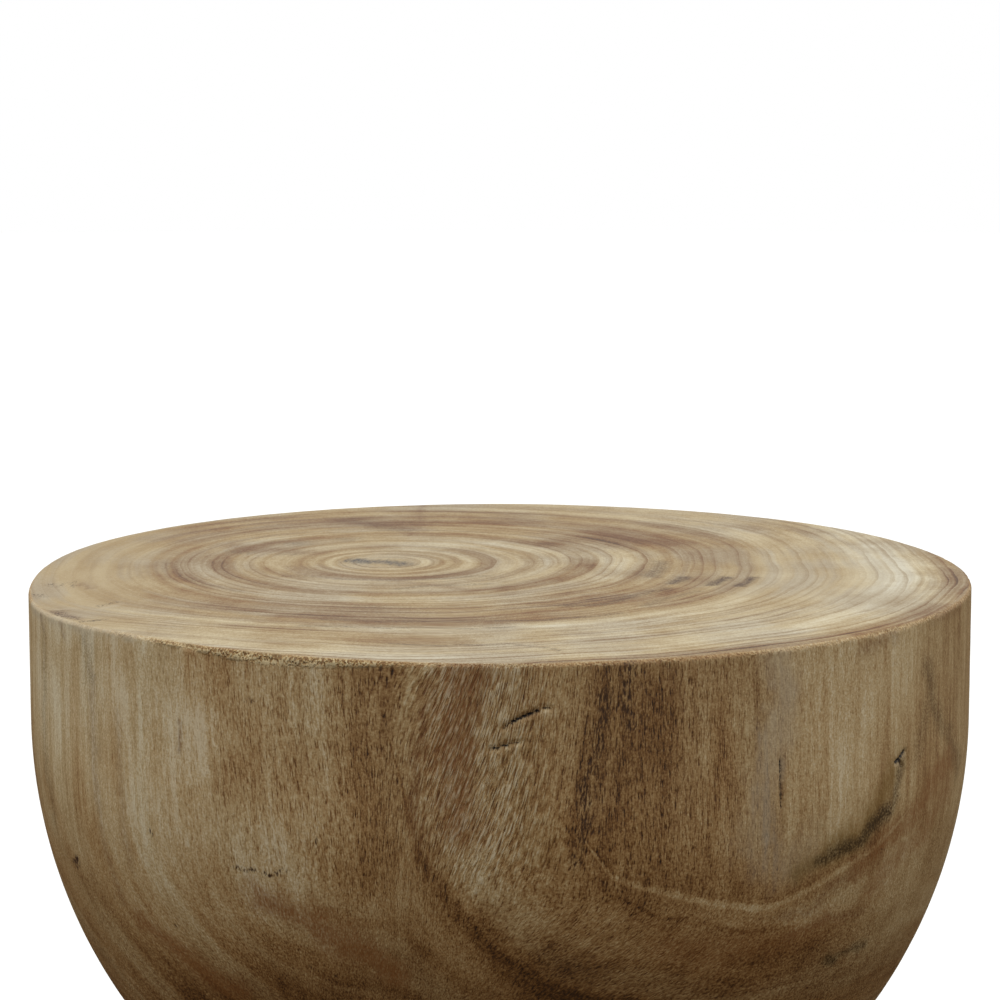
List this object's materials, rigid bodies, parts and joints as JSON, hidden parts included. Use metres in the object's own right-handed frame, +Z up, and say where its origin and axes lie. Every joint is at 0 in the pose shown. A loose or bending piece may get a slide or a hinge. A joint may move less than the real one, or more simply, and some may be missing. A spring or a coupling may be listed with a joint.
{
  "type": "stool table",
  "caption": "Hourglass stool or side table turned from one log, with a flat end-grain top, bowl-shaped halves meeting at a hollow waist, and nail-on felt glides under the foot.",
  "frame": {"origin": "point of the floor under the middle of the stool", "axes": "+Z up along the axis that the log was turned about, -Y towards the viewer of the picture, +X to the viewer's right"},
  "size_m": [0.35, 0.3498, 0.45],
  "materials": {
    "wood": "sanded, oiled satin",
    "felt": "pressed wool felt",
    "cup_plastic": "moulded, fine matt",
    "nail_steel": "bright drawn wire"
  },
  "bodies": {
    "root": {"turned_block": "wood", "felt_pad_1": "felt", "felt_pad_2": "felt", "felt_pad_3": "felt", "felt_pad_4": "felt", "glide_cup_1": "cup_plastic", "glide_cup_2": "cup_plastic", "glide_cup_3": "cup_plastic", "glide_cup_4": "cup_plastic", "glide_nail_1": "nail_steel", "glide_nail_2": "nail_steel", "glide_nail_3": "nail_steel", "glide_nail_4": "nail_steel"}
  },
  "joints": []
}
